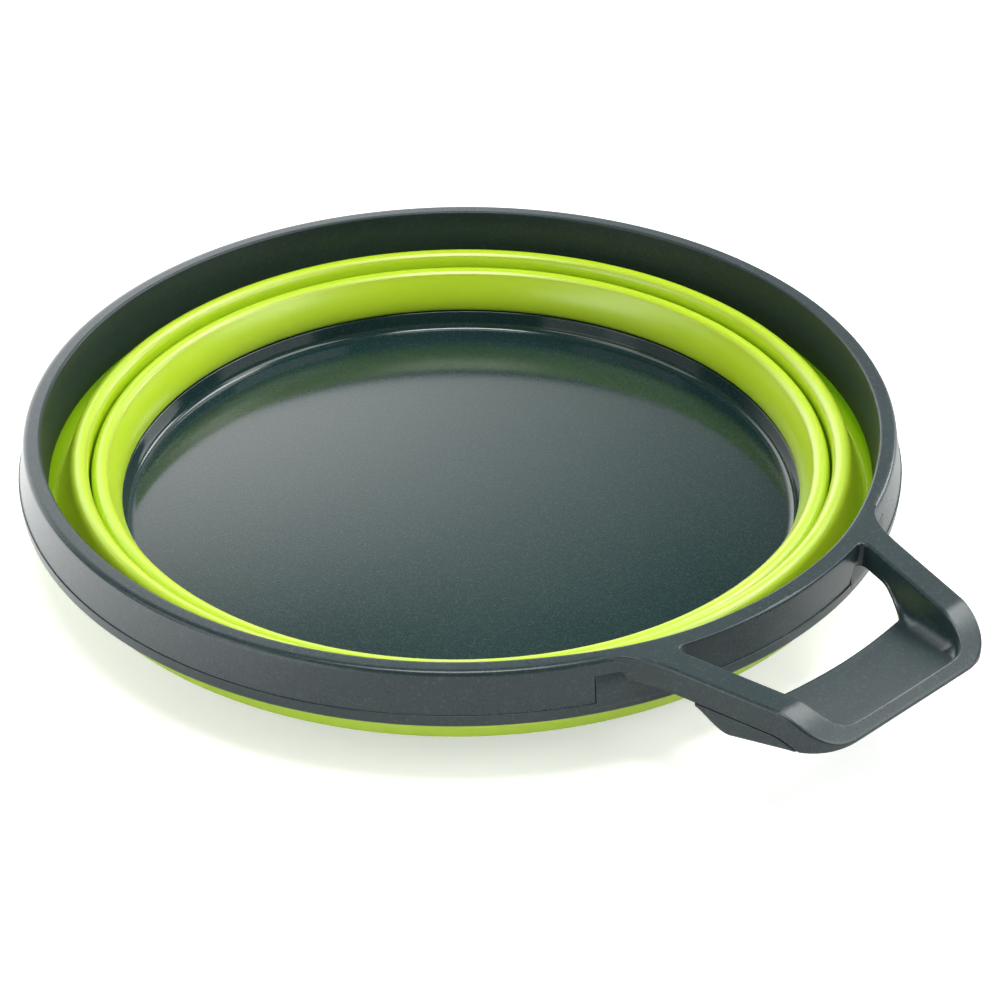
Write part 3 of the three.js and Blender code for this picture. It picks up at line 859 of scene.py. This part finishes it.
def floor_white():
    """White paper whose left side glows with painted light that only the bowl's reflections see."""
    finish, tree = start_finish("floor_white")
    seen = tree.node("LightPath", {}, {}, "Is Camera Ray")
    mirrored = tree.node("LightPath", {}, {}, "Is Glossy Ray")
    place = place_on(tree)
    leftward = tree.node("VectorMath", {"operation": "DOT_PRODUCT"}, {0: place, 1: -right}, "Value")
    distance = tree.node("VectorMath", {"operation": "LENGTH"}, {0: place}, "Value")
    # Painted light: the floor's left side glows for glossy rays, so the bowl reflects a brighter left.
    reflected_glow = mirrored * leftward.step(0.04, 0.13) * 2.2
    paper = tree.node("BsdfDiffuse", {}, {"Color": (0.8, 0.8, 0.8, 1)})
    near = tree.node("AddShader", {}, {0: paper, 1: given_light(tree, seen * 0.5 + reflected_glow)})
    far = given_light(tree, seen + mirrored * 0.6 + reflected_glow)
    surface = tree.node("MixShader", {}, {0: distance.step(0.3, 0.7), 1: near, 2: far})
    tree.node("OutputMaterial", {}, {"Surface": surface})
    return finish


view_azimuth = radians(48.27)
view_elevation = radians(34.13)
away = Vector((-sin(view_azimuth), cos(view_azimuth), 0))
right = Vector((cos(view_azimuth), sin(view_azimuth), 0))
up = Vector((0, 0, 1))
centre = Vector((0, 0, rim_top))

floor_shape = bmesh.new()
bmesh.ops.create_grid(floor_shape, x_segments=1, y_segments=1, size=6.0)
floor = make_piece("floor", floor_shape, floor_white())


def soft_lamp(name, width, height, power, place):
    """A flat soft lamp at a place, facing the bowl."""
    lamp = bpy.data.lights.new(name, "AREA")
    lamp.shape = "RECTANGLE"
    lamp.size = width
    lamp.size_y = height
    lamp.energy = power
    holder = bpy.data.objects.new(name, lamp)
    holder.location = place
    holder.rotation_euler = (centre - place).to_track_quat("-Z", "Y").to_euler()
    bpy.context.scene.collection.objects.link(holder)


soft_lamp("right_box", 1.0, 0.9, 12.5, right * 1.18 + up * 0.84 - away * 0.38)
soft_lamp("left_box", 1.0, 0.9, 6.0, up * 0.8 - right * 1.2 - away * 0.44)
soft_lamp("left_low", 0.9, 0.4, 4.0, up * 0.3 - right * 1.04 - away * 1.04)
soft_lamp("right_back", 0.6, 0.5, 7.5, right * 1.15 + up * 0.54 + away * 0.85)
soft_lamp("nose_lamp", 0.8, 0.4, 9.5, right * 0.75 + up * 1.2 + away * 0.56)
soft_lamp("top_lamp", 0.6, 0.5, 13.5, up * 1.5 - away * 0.2)

world = bpy.data.worlds.new("studio")
world.use_nodes = True
world.node_tree.nodes.clear()
room = Signal(world.node_tree)
direction = room.node("TexCoord", {}, {}, "Generated")
rise = room.node("SeparateXYZ", {}, {0: direction}, 2)
behind = room.node("VectorMath", {"operation": "DOT_PRODUCT"}, {0: direction, 1: away}, "Value")
sideways = room.node("VectorMath", {"operation": "DOT_PRODUCT"}, {0: direction, 1: right}, "Value")
far_side = behind.step(0.25, 0.65)
window_fade = 1.0 - rise.step(0.525, 0.600) * 0.65
window_top = 1.0 - (rise + sideways.step(0.0, 0.12) * 0.03).step(0.584, 0.606)
window_right = 1.0 - sideways.step(-0.18, 0.14) * 0.88
window = window_fade * window_top * window_right * far_side
glow_height = rise.step(0.56, 0.58) * (1.0 - rise.step(0.66, 0.72))
handle_glow = sideways.step(0.11, 0.15) * glow_height * far_side
shade = (window + handle_glow * 0.35).mix((0.1, 0.103, 0.106, 1), (3.6, 3.6, 3.6, 1))
seen = room.node("LightPath", {}, {}, "Is Camera Ray")
backdrop = room.node("Background", {}, {"Color": (1, 1, 1, 1), "Strength": 1.0})
sky = room.node("Background", {}, {"Color": shade, "Strength": 1.0})
room.node("OutputWorld", {}, {"Surface": room.node("MixShader", {}, {0: seen, 1: sky, 2: backdrop})})
scene = bpy.context.scene
scene.world = world
scene.view_settings.view_transform = "Standard"

SENSOR = 36.0
FOCAL_PIXELS = 2475.5
IMAGE_WIDTH = 1000
lens = bpy.data.cameras.new("camera")
lens.sensor_width = SENSOR
lens.lens = FOCAL_PIXELS * SENSOR / IMAGE_WIDTH
lens.clip_start = 0.01
camera = bpy.data.objects.new("camera", lens)
camera.rotation_euler = Euler((pi / 2 - view_elevation, 0, view_azimuth))
centre_in_view = Vector((-6.65, 16.04, -419.1)) * MM
camera.location = centre - camera.rotation_euler.to_matrix() @ centre_in_view
scene.collection.objects.link(camera)
scene.camera = camera
